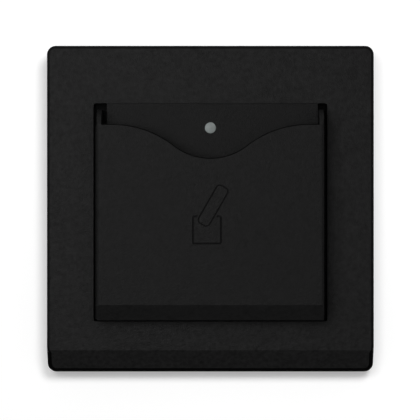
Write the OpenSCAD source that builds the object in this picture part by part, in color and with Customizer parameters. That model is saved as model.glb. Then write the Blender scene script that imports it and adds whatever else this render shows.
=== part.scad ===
// Hotel key card switch for a 60 mm wall box: clip-on cover frame, card pocket, card lever and
// switch insert. Millimetres. +Z is up and -Y faces the room. The wall plane is y = 0, and the
// origin is the middle of the fixing slots on that plane.

/* [Cover frame] */
// Width and height of the square frame
frame_w = 84; // [82:1:92]
// Distance of the frame's face from the wall
frame_depth = 10; // [9.4:0.2:12]
// Radius of the frame's corners, seen from the front
frame_corner_r = 2.2; // [1.4:0.2:3.6]
// Radius along the frame's front edges
frame_edge_r = 0.8; // [0.4:0.1:1.2]
// Wall thickness of the frame
frame_wall = 2; // [1.6:0.1:2.2]
// Height of the sloped band along the frame's foot
slope_h = 5.8; // [4.6:0.2:7]
// Distance the sloped band falls back
slope_d = 3.6; // [2.6:0.2:4.4]
// Height of the window in the frame
window_h = 56; // [55:0.5:58]
// Distance of the window's middle below the frame's middle
window_drop = 0.8; // [0.4:0.1:1.2]
// Depth from the frame's face to the ledge in the window
ledge_depth = 4; // [3.8:0.1:4.2]
// Width of the ledge
ledge_w = 2; // [1.6:0.1:2.2]
// Thickness of the ledge
ledge_t = 1.6; // [1.2:0.1:2]
// Thickness of the collar round the window
collar_t = 1.6; // [1.2:0.1:2]
// Thickness of the ribs behind the frame's face
rib_t = 1.2; // [0.8:0.1:1.6]
// Distance of each rib from the frame's middle
rib_x = 18; // [14:1:22]
// Distance of the ribs' back edges from the wall
rib_back = 2.5; // [2.2:0.1:3.5]

/* [Card pocket] */
// Width of the key card, the short side of an ID-1 card
card_w = 54; // [53.5:0.25:55]
// Play of the card in the slot, both sides together
card_play = 1.5; // [1:0.1:2]
// Thickness of the pocket's side walls
pocket_side = 1.15; // [1:0.05:1.5]
// Thickness of the pocket's front wall
pocket_wall = 2; // [1.6:0.1:2.4]
// Thickness of the pocket's floor
pocket_floor_t = 1.8; // [1.4:0.1:2.2]
// Distance the pocket stands out of the frame's face
pocket_out = 7; // [6.4:0.2:7.6]
// Gap between the pocket's sides and the window
window_gap = 1.1; // [0.7:0.1:1.4]
// Gap between the pocket's foot and the window
foot_gap = 0.5; // [0.3:0.1:0.8]
// Radius along the pocket's upright front edges
pocket_edge_r = 0.8; // [0.4:0.1:1]
// Distance of the pocket's shoulders below the window's top
shoulder_drop = 5.6; // [5:0.2:6.2]
// Distance of the ears' tops below the window's top
ear_drop = 1.6; // [1:0.2:2.2]
// Distance the ears reach behind the frame's face
ear_sink = 0.6; // [0.4:0.1:0.8]
// Depth of the thumb dip
dip_depth = 8.6; // [6:0.2:10]
// Width of the thumb dip
dip_w = 47; // [40:1:50]
// Height of the slope at the pocket's foot
foot_slope_h = 4; // [3:0.2:5]
// Distance the slope at the pocket's foot falls back
foot_slope_d = 2.5; // [1.5:0.1:3.5]
// Width of each guide rib in the slot
guide_w = 1.4; // [1:0.1:2]
// Height of each guide rib at its foot
guide_h = 3.4; // [2.8:0.1:3.6]
// Height of each guide rib at its top
guide_lip = 0.5; // [0.3:0.1:0.8]
// Distance of each guide rib from the middle
guide_x = 19.4; // [16:0.2:22]
// Length of the guide ribs' ramp
guide_ramp = 16; // [12:0.5:18]
// Distance of the guide ribs' tops below the shoulders
guide_drop = 0.8; // [0.4:0.1:1.2]
// Height of each tab that holds the pocket to the centre plate
tab_h = 6; // [4:0.5:8]
// Height of the tabs' inner ends from the middle
tab_z = 13; // [11:0.5:15]

/* [Centre plate] */
// Distance of the centre plate behind the frame's face
plate_recess = 0.3; // [0.2:0.05:0.4]
// Thickness of the centre plate
plate_wall = 1.8; // [1.6:0.05:1.9]
// Thickness of the plate's flange on the ledge
flange_t = 1.6; // [1.3:0.1:1.8]
// Thickness left in the flange's corners behind the pocket's ears
ear_floor_t = 0.6; // [0.5:0.1:0.8]
// Gap between the plate's panel and the ears
panel_gap = 0.85; // [0.6:0.05:1.2]
// Gap between the plate's panel and the window's top
panel_top_gap = 0.15; // [0.1:0.05:0.3]
// Diameter of the indicator lens
lens_d = 2.8; // [2.2:0.1:3.6]
// Distance of the lens below the window's top
lens_drop = 6.3; // [5.8:0.1:7]
// Distance the lens stands out of the plate
lens_out = 0.3; // [0.1:0.1:0.5]
// Radius of the lens's domed face
lens_dome_r = 4; // [3:0.5:8]
// Width of the rim behind the lens
lens_rim = 0.7; // [0.5:0.1:1]
// Thickness of the rim behind the lens
lens_rim_t = 0.8; // [0.6:0.1:1]
// Width of each snap leg
leg_w = 5; // [4:0.25:5.5]
// Thickness of each snap leg
leg_t = 1.4; // [1.1:0.1:1.6]
// Height of each snap leg's hook
hook_h = 0.8; // [0.5:0.1:1]
// Length of each snap leg's hook
hook_len = 2; // [1.6:0.1:2.4]

/* [Card lever] */
// Height of the lever's axle above the frame's middle
axle_z = 6; // [5.4:0.2:6.6]
// Diameter of the lever's axle
axle_d = 2; // [1.6:0.1:2.4]
// Outer radius of the lever's hub
hub_r = 3; // [2.7:0.1:3.1]
// Width of the lever's hub
hub_w = 15.6; // [14:0.2:17]
// Gap between the hub and each bracket
hub_gap = 0.4; // [0.3:0.1:0.6]
// Thickness of each lever bracket on the centre plate
bracket_t = 2.4; // [2:0.1:3]
// Thickness of the lever's arm
arm_t = 2.2; // [1.8:0.1:2.4]
// Gap between the lever's arm and the centre plate
arm_gap = 0.5; // [0.4:0.05:0.6]
// Width of the lever's arm and nose
nose_w = 12; // [10:0.5:13]
// Length of the lever from its axle to its lower end
lever_len = 26; // [25:0.25:26.5]
// Height of the top of the nose's ramp below the axle
ramp_top = 11; // [10:0.5:12]
// Height of the nose's tip below the axle
tip_drop = 22.5; // [21.5:0.25:23.5]
// Gap between the nose's tip and the pocket's front wall
tip_gap = 0.5; // [0.4:0.1:1.2]
// Radius of the nose's tip
tip_r = 1; // [0.6:0.1:1.2]
// Thickness of the walls round the hollows in the nose
nose_wall = 1.4; // [1:0.1:1.6]
// Radius of the lever's foot that pushes the plunger
foot_r = 2; // [1.6:0.1:2.2]
// Width of the lever's foot
foot_w = 6; // [4:0.5:7]

/* [Mounting yoke] */
// Width and height of the yoke
yoke_w = 71; // [70:0.5:74]
// Thickness of the yoke's sheet
yoke_t = 1; // [0.8:0.1:1.2]
// Radius of the yoke's corners
yoke_r = 6; // [3:0.5:9]
// Distance the yoke laps over each side of the base
yoke_side_lap = 5; // [4.5:0.1:5.5]
// Distance the yoke laps over each end of the base
yoke_end_lap = 1; // [0.8:0.1:1.2]
// Radius of the corners of the yoke's window
yoke_window_r = 2; // [1:0.5:3]
// Distance between opposite fixing slots
fixing_pitch = 60; // [59.5:0.5:60.5]
// Width of a fixing slot
fixing_w = 3.6; // [3.2:0.1:4]
// Length of a fixing slot
fixing_len = 8; // [6:0.5:9]
// Diameter of a yoke rivet
rivet_d = 2.6; // [2:0.1:3]
// Distance of each rivet from the middle, sideways
rivet_x = 12; // [11.5:0.25:13]
// Distance of each rivet outside the base's end
rivet_out = 3; // [2.8:0.1:3.4]
// Width of a rivet head's rim
rivet_rim = 0.8; // [0.6:0.1:1]
// Thickness of a rivet's heads
rivet_head_t = 0.9; // [0.7:0.1:1.1]

/* [Switch insert] */
// Width of the base
base_w = 44; // [43.6:0.1:44.4]
// Height of the base
base_h = 40; // [39.4:0.2:41]
// Radius of the round that the base's corners keep within
base_r = 28; // [27.6:0.1:28.6]
// Depth of the base behind the wall plane
base_depth = 24; // [23.4:0.2:27]
// Wall thickness of the base
base_wall = 1.8; // [1.5:0.1:2]
// Thickness of the base's flange behind the yoke
base_flange_t = 2; // [1.4:0.1:2.4]
// Distance of the flange's ends from the rivets
base_flange_end = 3; // [2.5:0.1:3.2]
// Depth of the claw recess in each side of the base
recess_d = 3.6; // [3.4:0.1:3.8]
// Height of the claw recess
recess_h = 15; // [14.8:0.2:15.6]
// Depth of the switch cover's face behind the wall plane
cover_y = 3; // [2.8:0.1:3.4]
// Thickness of the switch cover
cover_t = 2; // [1.6:0.1:2.4]
// Width of the seat behind the switch cover
seat_w = 1.1; // [0.8:0.1:1.4]
// Thickness of the seat behind the switch cover
seat_t = 1.5; // [1.2:0.1:1.8]
// Radius of the cover screws' bosses
boss_r = 2.5; // [2.2:0.1:2.7]
// Length of the cover screws' bosses
boss_len = 8; // [7.6:0.2:9]
// Diameter of a cover screw
cover_screw_d = 1.7; // [1.5:0.1:2]
// Length of a cover screw in its boss
cover_screw_grip = 6; // [5:0.2:7]
// Thickness of the terminal cover
rear_t = 2; // [1.6:0.1:2.6]
// Height of the lip inside the terminal cover
rear_lip = 1; // [0.8:0.1:1.2]
// Length of the plunger's guide
guide_len = 5; // [4:0.25:5.5]
// Thickness of the wall round the plunger's guide
guide_wall = 2; // [1.6:0.1:2.4]
// Diameter of the plunger
plunger_d = 5; // [4.4:0.1:5.6]
// Height of the plunger below the frame's middle
plunger_drop = 7; // [6.6:0.1:7.4]
// Distance the plunger stands out of the switch cover
plunger_out = 2.9; // [2.8:0.05:3]
// Width of the plunger's collar
collar_w = 1.5; // [1.2:0.1:1.8]
// Thickness of the plunger's collar
plunger_collar_t = 1.2; // [1:0.1:1.4]
// Radius of the plunger's stem
stem_r = 1.5; // [1.3:0.1:1.7]
// Height of the contact spring
washer_h = 1.5; // [1.2:0.1:1.8]
// Thickness of the contact bridge
bridge_t = 0.8; // [0.6:0.1:1]
// Thickness of the bridge's clip
clip_t = 0.6; // [0.5:0.1:0.8]
// Open gap between the contacts
contact_gap = 2.6; // [2.55:0.05:3]
// Distance of each contact from the middle
contact_x = 8.5; // [8:0.1:9]
// Diameter of a contact
contact_d = 3.5; // [3:0.1:4]
// Thickness of a contact
contact_t = 0.8; // [0.6:0.1:1]
// Thickness of the terminals' strips
strip_t = 0.8; // [0.6:0.1:1]
// Distance of each terminal inside the base's side
terminal_side = 9.5; // [9.2:0.1:9.8]
// Distance of each terminal inside the base's end
terminal_end = 6; // [5.9:0.1:6.2]
// Width of a terminal's body
block_w = 7; // [6.4:0.2:7.2]
// Height of a terminal's body
block_h = 8; // [7.6:0.1:8.2]
// Radius of the wire bore in a terminal
wire_r = 1.7; // [1.5:0.05:1.8]
// Radius of a wire entry in the terminal cover
entry_r = 1.9; // [1.85:0.05:2.3]
// Diameter of a terminal screw
screw_d = 3.4; // [3:0.1:3.6]
// Thickness of the walls between the terminals
fence_t = 1.2; // [0.8:0.1:1.4]
// Radius of the return spring, at the middle of its wire
spring_r = 2.3; // [2:0.1:2.6]
// Diameter of the return spring's wire
spring_wire = 0.6; // [0.4:0.05:0.7]
// Turns of the return spring
spring_turns = 6; // [4:1:7]

/* [Indicator] */
// Width of the lamp holder
holder_w = 13; // [12.4:0.2:14]
// Thickness of the lamp holder's front plate
holder_t = 2.7; // [2.4:0.1:2.8]
// Height of the lamp holder's top above the lens's middle
holder_top = 3.4; // [2.8:0.1:3.8]
// Radius of the lamp's dome
lamp_r = 1.5; // [1.2:0.1:1.6]
// Width of the rim round the lamp's foot
lamp_rim = 0.4; // [0.3:0.1:0.6]
// Radius of the resistor's body
resistor_r = 1.2; // [1:0.05:1.3]
// Length of the resistor's body
resistor_len = 6.4; // [5:0.2:7]
// Distance of each resistor lead's bend from the middle
lead_x = 4.6; // [4.2:0.1:5.4]
// Radius of the resistor's leads
lead_r = 0.3; // [0.2:0.05:0.4]
// Radius of the lamp pins
lamp_pin_r = 0.5; // [0.4:0.05:0.6]
// Distance of each lamp pin from the middle
pin_x = 5; // [4.6:0.1:5.4]

/* [Claws] */
// Distance of each claw's pin outside the base's side
claw_out = 2.4; // [2.2:0.1:2.6]
// Depth of each claw's pin behind the wall plane
claw_y = 4.5; // [4.3:0.1:4.8]
// Thickness of the claws
claw_t = 1.4; // [1.1:0.1:1.6]
// Width of the claws
claw_w = 10; // [8:0.2:10.2]
// Length of the claws behind their pins
claw_len = 16.5; // [14:0.5:18]
// Length of the claws' bent ends
claw_hook = 2; // [1.5:0.1:2.4]
// Width of the heels that the claw screws press
heel_w = 6; // [5:0.5:7]
// Radius of the notches between the claws' teeth
tooth_r = 1.1; // [0.8:0.1:1.3]
// Thickness of the eye round each claw's pin
claw_eye = 1.1; // [0.9:0.1:1.3]
// Diameter of the claw pins
claw_pin_d = 2; // [1.6:0.1:2.2]
// Diameter of the claw screws
claw_screw_d = 3; // [2.5:0.1:3.2]
// Distance of each claw screw from the recess's wall
claw_screw_in = 2.1; // [2:0.05:2.2]
// Thickness of the lugs that hold the claw pins
lug_t = 1.8; // [1.4:0.1:2]
// Radius of the lugs' ends
lug_r = 2.2; // [2:0.1:2.4]

/* [Hidden] */
$fn = 48;
// Overlap of solids that are one piece, then clearances of fixed, running and loose pieces
eps = 0.01;
fixed_clear = 0.02;
running_clear = 0.05;
tab_clear = 0.1;
lid_clear = 0.15;
part_gap = 0.3;
swing_gap = 0.7;
inner_r = 0.6;
cut = 1;

// Small distances that pieces keep from each other
nose_gap_top = 0.6;
nose_gap_end = 1.2;
lever_room = 2;
strip_rim = 0.75;
screw_rim = 1;
screw_gap = 0.5;
boss_gap = 0.2;
flange_rim = 1.8;
holder_gap = 0.5;
pin_in = 2.1;
resistor_gap = 1;
leg_gap = 0.8;
leg_rise = 1.5;
leg_room = 1.2;
claw_gap = 0.35;
heel_in = 0.5;

pocket_w = card_w + card_play + 2 * pocket_side;
slot_w = card_w + card_play;
window_w = pocket_w + 2 * window_gap;
window_top = window_h / 2 - window_drop;
window_foot = -window_h / 2 - window_drop;
face_y = -frame_depth;
ledge_y = face_y + ledge_depth;
flange_y = ledge_y - flange_t;
panel_y = face_y + plate_recess;
panel_back = panel_y + plate_wall;
panel_w = slot_w - 2 * panel_gap;
panel_top = window_top - panel_top_gap;
pocket_y = face_y - pocket_out;
slot_y = pocket_y + pocket_wall;
shoulder_z = window_top - shoulder_drop;
ear_z = window_top - ear_drop;
pocket_foot = window_foot + foot_gap;
pocket_floor = pocket_foot + pocket_floor_t;
dip_z = shoulder_z - dip_depth;
dip_r = (pow(dip_w / 4, 2) + pow(dip_depth / 2, 2)) / dip_depth;
lens_z = window_top - lens_drop;
lens_rim_r = lens_d / 2 + lens_rim;

axle_y = panel_back + part_gap + hub_r;
arm_front = panel_back + arm_gap;
arm_back = arm_front + arm_t;
tip_y = slot_y + tip_gap;
ramp_z = axle_z - ramp_top;
tip_z = axle_z - tip_drop;
lever_end = axle_z - lever_len;
bracket_x = hub_w / 2 + hub_gap;

plunger_z = -plunger_drop;
plunger_y = cover_y - plunger_out;
foot_y = plunger_y - part_gap - foot_r;
cover_back = cover_y + cover_t;
guide_end = cover_y + guide_len;
collar_y = guide_end + part_gap;
collar_back = collar_y + plunger_collar_t;
bridge_y = collar_back + washer_h;
clip_y = bridge_y + bridge_t;
clip_back = clip_y + clip_t;
fixed_y = clip_y + contact_t + contact_gap;
strip_y = fixed_y + contact_t;
strip_back = strip_y + strip_t;
strip_half = contact_d / 2 + strip_rim;
spring_y0 = clip_back + tab_clear + spring_wire / 2;
spring_y1 = base_depth - running_clear - spring_wire / 2;
spring_cup_t = 1;

terminal_x = base_w / 2 - terminal_side;
terminal_z = base_h / 2 - terminal_end;
block_back = base_depth - tab_clear;
screw_y = (strip_y + base_depth) / 2;
screw_head_d = screw_d + 2 * screw_rim;
access_r = screw_head_d / 2 + screw_gap;
rear_y = base_depth;
boss_x = base_w / 2 - base_wall - boss_r - boss_gap;
boss_z = recess_h / 2 + base_wall + boss_r - 2 * boss_gap;
boss_web_t = 3;
cover_head_d = 3.6;
cover_head_t = 1.2;
rivet_z = base_h / 2 + rivet_out;
flange_r = norm([rivet_x, rivet_z]) + rivet_d / 2 + flange_rim;

holder_foot = axle_z + hub_r + lever_room;
holder_y = -yoke_t - holder_gap;
holder_front = holder_y - holder_t;
plug_top = base_h / 2 - base_wall - 2 * part_gap;
pin_z = plug_top - pin_in;
lamp_strip_half = 1.5;

recess_x = base_w / 2 - recess_d;
leg_x = base_w / 2 + leg_gap;
leg_z = recess_h / 2 + leg_rise;
leg_tip = 1;
claw_x = base_w / 2 + claw_out;
claw_screw_x = recess_x + claw_screw_in;
claw_head_t = 1.8;
lug_z = claw_w / 2 + claw_gap;
heel_y = claw_y - heel_in;

module block(x0, x1, y0, y1, z0, z1) {
    translate([x0, y0, z0]) cube([x1 - x0, y1 - y0, z1 - z0]);
}

module along_x(x0, x1) {
    translate([x0, 0, 0]) rotate([90, 0, 90]) linear_extrude(x1 - x0) children();
}

module along_y(y0, y1) {
    translate([0, y1, 0]) rotate([90, 0, 0]) linear_extrude(y1 - y0) children();
}

module along_z(z0, z1) {
    translate([0, 0, z0]) linear_extrude(z1 - z0) children();
}

module rod_x(r, x0, x1, y, z) {
    translate([x0, y, z]) rotate([0, 90, 0]) cylinder(r = r, h = x1 - x0);
}

module rod_y(r, x, y0, y1, z) {
    translate([x, y0, z]) rotate([-90, 0, 0]) cylinder(r = r, h = y1 - y0);
}

module rod_z(r, x, y, z0, z1) {
    translate([x, y, z0]) cylinder(r = r, h = z1 - z0);
}

module both_sides() {
    children();
    mirror([1, 0, 0]) children();
}

module four_ways() {
    both_sides() {
        children();
        mirror([0, 0, 1]) children();
    }
}

// Two opposite corners of four
module two_corners() {
    children();
    mirror([1, 0, 0]) mirror([0, 0, 1]) children();
}

// The three of four corners that have a terminal
module three_corners() {
    mirror([0, 0, 1]) both_sides() children();
    mirror([1, 0, 0]) children();
}

module rounded_rect(w, h, r) {
    square([w - 2 * r, h], center = true);
    square([w, h - 2 * r], center = true);
    for (x = [-1, 1], z = [-1, 1]) translate([x * (w / 2 - r), z * (h / 2 - r)]) circle(r);
}

// What a round of radius r takes off a square corner at the origin, whose body lies at +x, +y
module corner_cut(r) {
    difference() {
        translate([-r, -r]) square(2 * r);
        translate([r, r]) circle(r);
    }
}

module window_shape(grow, r) {
    translate([0, -window_drop]) rounded_rect(window_w + 2 * grow, window_h + 2 * grow, r);
}

// The frame's outer form is where its front, side and top outlines meet
module frame_body() {
    half = frame_w / 2;
    intersection() {
        along_y(face_y, 0) rounded_rect(frame_w, frame_w, frame_corner_r);
        along_x(-half, half) difference() {
            polygon([
                [0, -half], [0, half], [face_y, half], [face_y, slope_h - half],
                [face_y + slope_d, -half]
            ]);
            translate([face_y, half]) mirror([0, 1]) corner_cut(frame_edge_r);
        }
        along_z(-half, half) difference() {
            translate([-half, face_y]) square([frame_w, frame_depth]);
            for (m = [0, 1]) mirror([m, 0]) translate([-half, face_y]) corner_cut(frame_edge_r);
        }
    }
}

// The hollow behind the frame's face keeps one wall thickness from the slope too
module frame_hollow() {
    half = frame_w / 2;
    in = half - frame_wall;
    slope_l = norm([slope_h, slope_d]);
    z_face = slope_h - half + frame_wall * (slope_l - slope_h) / slope_d;
    y_foot = face_y + (frame_wall * slope_l + slope_d * (slope_h - frame_wall)) / slope_h;
    intersection() {
        along_y(face_y, frame_wall) rounded_rect(2 * in, 2 * in, inner_r);
        along_x(-half, half) polygon([
            [frame_wall, -in], [frame_wall, in], [face_y + frame_wall, in],
            [face_y + frame_wall, z_face], [y_foot, -in]
        ]);
    }
}

// Ribs behind the face, from edge to edge, two each way
module frame_ribs() {
    for (a = [0:90:270]) along_y(face_y + frame_wall / 2, -rib_back) rotate(a)
        translate([rib_x, 0]) square([rib_t, frame_w], center = true);
}

module cover_frame() {
    color("#2b2b2d") difference() {
        union() {
            difference() {
                frame_body();
                frame_hollow();
            }
            intersection() {
                frame_body();
                union() {
                    along_y(face_y + frame_wall / 2, ledge_y + ledge_t)
                        window_shape(collar_t, 2 * inner_r);
                    frame_ribs();
                }
            }
        }
        along_y(face_y - cut, ledge_y) window_shape(0, inner_r);
        along_y(face_y - cut, cut) window_shape(-ledge_w, inner_r);
    }
}

// Two brackets hold the lever's axle behind the plate
module lever_bracket() {
    x1 = bracket_x + bracket_t;
    difference() {
        union() {
            block(bracket_x, x1, panel_back - eps, axle_y, axle_z - hub_r, axle_z + hub_r);
            rod_x(hub_r, bracket_x, x1, axle_y, axle_z);
        }
        rod_x(axle_d / 2 + fixed_clear, bracket_x - cut, x1 + cut, axle_y, axle_z);
    }
}

// A snap leg goes through a slot in the yoke and hooks behind the slot's outer edge
module snap_leg() {
    x1 = leg_x + leg_t;
    along_z(leg_z, leg_z + leg_w) polygon([
        [leg_x, panel_back - eps], [x1, panel_back - eps], [x1, part_gap],
        [x1 + hook_h, part_gap], [x1 + hook_h, part_gap + hook_len / 3],
        [leg_x + leg_tip, part_gap + hook_len], [leg_x, part_gap + hook_len]
    ]);
}

module tab_block(grow, y1) {
    block(
        slot_w / 2 - grow, pocket_w / 2 + grow, flange_y - eps, y1,
        tab_z - grow, tab_z + tab_h + grow
    );
}

// The plate's panel fills the window between the ears, and its flange lies on the frame's ledge.
// The flange's upper corners are sunk behind the ears, so that the pocket can be hooked in
module plate_shell() {
    foot = pocket_floor + part_gap;
    inner = panel_w / 2 - plate_wall;
    difference() {
        union() {
            along_y(flange_y, ledge_y) window_shape(-part_gap, inner_r);
            block(-panel_w / 2, panel_w / 2, panel_y, ledge_y, foot, panel_top);
        }
        block(-inner, inner, panel_back, 0, foot + plate_wall, panel_top - plate_wall);
        both_sides() block(
            panel_w / 2, window_w / 2, flange_y - cut, ledge_y - ear_floor_t, shoulder_z, window_top
        );
    }
}

module centre_plate() {
    nose_half = nose_w / 2 + swing_gap;
    lens_seat = panel_back + lens_rim_t;
    color("#29292b") difference() {
        union() {
            plate_shell();
            rod_y(lens_rim_r + lens_rim, 0, panel_back - eps, lens_seat + lens_rim, lens_z);
            both_sides() lever_bracket();
            four_ways() snap_leg();
        }
        rod_y(lens_d / 2 + fixed_clear, 0, panel_y - cut, lens_seat, lens_z);
        rod_y(lens_rim_r + fixed_clear, 0, panel_back, 0, lens_z);
        block(
            -nose_half, nose_half, panel_y - cut, panel_back + cut,
            lever_end - nose_gap_end, ramp_z + nose_gap_top
        );
        four_ways() tab_block(tab_clear, 0);
    }
}

// The thumb dip is three equal arcs: a bowl between two shoulders, meeting halfway down
module thumb_dip() {
    half = dip_w / 2;
    mid = shoulder_z - dip_depth / 2;
    lap = dip_depth / 20;
    difference() {
        translate([-half, mid]) square([dip_w, dip_depth]);
        for (s = [-1, 1]) translate([s * half, shoulder_z - dip_r]) circle(dip_r);
    }
    intersection() {
        translate([0, dip_z + dip_r]) circle(dip_r);
        translate([-half, dip_z - lap]) square([dip_w, dip_depth / 2 + 2 * lap]);
    }
}

// Side outline of the pocket: sloped foot, flat front, and an ear that curves back to the frame
module pocket_side_outline() {
    ear_y = face_y + ear_sink;
    polygon(concat(
        [[flange_y, pocket_foot], [flange_y, ear_z]],
        [for (a = [90:-7.5:0]) [
            ear_y + (pocket_y - ear_y) * cos(a), shoulder_z + (ear_z - shoulder_z) * sin(a)
        ]],
        [[pocket_y, pocket_foot + foot_slope_h], [pocket_y + foot_slope_d, pocket_foot]]
    ));
}

module pocket_top_outline() {
    half = pocket_w / 2;
    difference() {
        translate([-half, pocket_y]) square([pocket_w, flange_y - pocket_y]);
        for (m = [0, 1]) mirror([m, 0]) translate([-half, pocket_y]) corner_cut(pocket_edge_r);
    }
}

// A guide rib narrows the slot downwards, so that the card's foot meets the lever's nose
module guide_rib() {
    top = shoulder_z - guide_drop;
    root_y = slot_y - pocket_wall / 4;
    root_z = pocket_floor - pocket_floor_t / 4;
    along_x(guide_x - guide_w / 2, guide_x + guide_w / 2) polygon([
        [root_y, root_z], [root_y, top], [slot_y, top], [slot_y + guide_lip, top - guide_lip],
        [slot_y + guide_h, top - guide_ramp], [slot_y + guide_h, root_z]
    ]);
}

module card_pocket() {
    half = slot_w / 2;
    color("#2a2a2c") union() {
        difference() {
            intersection() {
                along_x(-pocket_w / 2, pocket_w / 2) pocket_side_outline();
                along_z(pocket_foot - cut, ear_z + cut) pocket_top_outline();
            }
            block(-half, half, slot_y, flange_y + cut, pocket_floor, ear_z + cut);
            block(-half, half, pocket_y - cut, slot_y + cut, shoulder_z, ear_z + cut);
            along_y(pocket_y - cut, slot_y + cut) thumb_dip();
        }
        both_sides() guide_rib();
        four_ways() tab_block(0, ledge_y);
    }
}

module indicator_lens() {
    front = panel_y - lens_out;
    color("#8f9694") union() {
        intersection() {
            rod_y(lens_d / 2, 0, front, panel_back + eps, lens_z);
            translate([0, front + lens_dome_r, lens_z]) sphere(lens_dome_r);
        }
        rod_y(lens_rim_r, 0, panel_back, panel_back + lens_rim_t, lens_z);
    }
}

// Where a line from point p touches a circle, on its left (s = 1) or right (s = -1) side
function tangent(p, c, r, s) =
    let (d = p - c, a = atan2(d[1], d[0]) + s * acos(r / norm(d))) c + r * [cos(a), sin(a)];

// Side outline of the lever: straight arm, and a nose whose ramps run onto a round tip
module nose_outline() {
    top = [arm_front, ramp_z];
    end = [arm_front, lever_end];
    tip = [tip_y + tip_r, tip_z];
    polygon([
        [arm_front, axle_z], top, tangent(top, tip, tip_r, 1), tangent(end, tip, tip_r, -1), end,
        [arm_back, lever_end], [arm_back, axle_z]
    ]);
    translate(tip) circle(tip_r);
}

// Two cores lighten the nose from behind and leave a rib between them
module nose_core() {
    top = plunger_z - foot_r - nose_wall / 2;
    end = lever_end + nose_wall;
    root = arm_back - nose_wall / 3;
    front = tip_y + 2 * nose_wall;
    along_x(nose_wall / 2, nose_w / 2 - nose_wall) polygon([
        [arm_back + cut, top], [root, top], [front, tip_z + nose_wall / 2],
        [front, tip_z - nose_wall / 3], [root, end], [arm_back + cut, end]
    ]);
}

module card_lever() {
    half = foot_w / 2;
    color("#3a3a3c") difference() {
        union() {
            rod_x(hub_r, -hub_w / 2, hub_w / 2, axle_y, axle_z);
            along_x(-nose_w / 2, nose_w / 2) nose_outline();
            block(-half, half, arm_back - eps, foot_y, plunger_z - foot_r, plunger_z + foot_r);
            rod_x(foot_r, -half, half, foot_y, plunger_z);
        }
        rod_x(axle_d / 2 + running_clear, -hub_w, hub_w, axle_y, axle_z);
        both_sides() nose_core();
    }
}

module lever_axle() {
    half = bracket_x + bracket_t + axle_d / 4;
    color("#b9bbbd") rod_x(axle_d / 2, -half, half, axle_y, axle_z);
}

module fixing_slot() {
    reach = fixing_len / 2 - fixing_w / 2;
    for (s = [-1, 1]) translate([fixing_pitch / 2 + s * reach, 0]) circle(fixing_w / 2);
    translate([fixing_pitch / 2, 0]) square([2 * reach, fixing_w], center = true);
}

// A slot for a snap leg: room to bend inwards, and an edge outside for its hook
module leg_slot() {
    translate([leg_x - leg_room, leg_z - part_gap])
        square([leg_room + leg_t + part_gap, leg_w + 2 * part_gap]);
}

module yoke_outline() {
    difference() {
        rounded_rect(yoke_w, yoke_w, yoke_r);
        rounded_rect(base_w - 2 * yoke_side_lap, base_h - 2 * yoke_end_lap, yoke_window_r);
        translate([-nose_w / 2 - lever_room, lever_end - lever_room])
            square([nose_w + 2 * lever_room, -lever_end]);
        for (a = [0:90:270]) rotate(a) fixing_slot();
        for (x = [0, 1], z = [0, 1]) mirror([x, 0]) mirror([0, z]) {
            translate([rivet_x, rivet_z]) circle(rivet_d / 2 + fixed_clear);
            leg_slot();
        }
        for (s = [-1, 1]) translate([s * claw_screw_x, 0]) circle(claw_screw_d / 2 + 2 * tab_clear);
    }
}

module mounting_yoke() {
    color("#c3c6c8") along_y(-yoke_t, 0) yoke_outline();
}

// Outline of the base, drawn in by an inset, with a claw recess in each side
module base_outline(inset) {
    difference() {
        intersection() {
            square([base_w - 2 * inset, base_h - 2 * inset], center = true);
            circle(base_r - inset);
        }
        for (s = [-1, 1]) translate([s * (recess_x + base_w / 2 - inset), 0])
            square([base_w, recess_h + 2 * inset], center = true);
    }
}

// The base's flange at each end, riveted behind the yoke
module base_flange() {
    difference() {
        intersection() {
            square([base_w - 2 * base_wall, 2 * (rivet_z + base_flange_end)], center = true);
            circle(flange_r);
        }
        square([base_w, base_h - base_wall], center = true);
    }
}

// A lug beside the claw recess holds one end of a claw pin
module claw_lug() {
    z1 = lug_z + lug_t;
    difference() {
        union() {
            block(recess_x - base_wall / 2, claw_x, claw_y - lug_r, claw_y + lug_r, lug_z, z1);
            rod_z(lug_r, claw_x, claw_y, lug_z, z1);
        }
        rod_z(claw_pin_d / 2 + fixed_clear, claw_x, claw_y, lug_z - cut, z1 + cut);
    }
}

// Walls that keep one terminal apart from the contacts
module terminal_wall() {
    x1 = terminal_x - block_w / 2 - part_gap;
    z1 = terminal_z - block_h / 2 - part_gap;
    y0 = strip_back + part_gap;
    block(x1 - fence_t, x1, y0, base_depth, z1 - fence_t, base_h / 2 - base_wall / 2);
    block(x1 - fence_t, base_w / 2 - base_wall / 2, y0, base_depth, z1 - fence_t, z1);
}

// A boss for a cover screw, with a web to the base's side
module cover_boss() {
    end = cover_back + boss_len;
    half = boss_web_t / 2;
    rod_y(boss_r, boss_x, cover_back, end, boss_z);
    block(boss_x, base_w / 2 - base_wall / 2, cover_back, end, boss_z - half, boss_z + half);
}

module switch_base() {
    pilot_end = cover_back + cover_screw_grip + cut;
    access_z = base_h / 2 - base_wall - tab_clear;
    color("#d9d9d4") difference() {
        union() {
            difference() {
                along_y(0, base_depth) base_outline(0);
                along_y(-cut, base_depth + cut) base_outline(base_wall);
            }
            along_y(cover_back, cover_back + seat_t) difference() {
                base_outline(base_wall / 2);
                base_outline(base_wall + seat_w);
            }
            along_y(0, base_flange_t) base_flange();
            two_corners() cover_boss();
            four_ways() {
                claw_lug();
                terminal_wall();
            }
        }
        two_corners() rod_y(cover_screw_d / 2 + running_clear, boss_x, 0, pilot_end, boss_z);
        three_corners() rod_z(access_r, terminal_x, screw_y, access_z, base_h);
        four_ways()
            rod_y(rivet_d / 2 + fixed_clear, rivet_x, -cut, base_flange_t + cut, rivet_z);
    }
}

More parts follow.
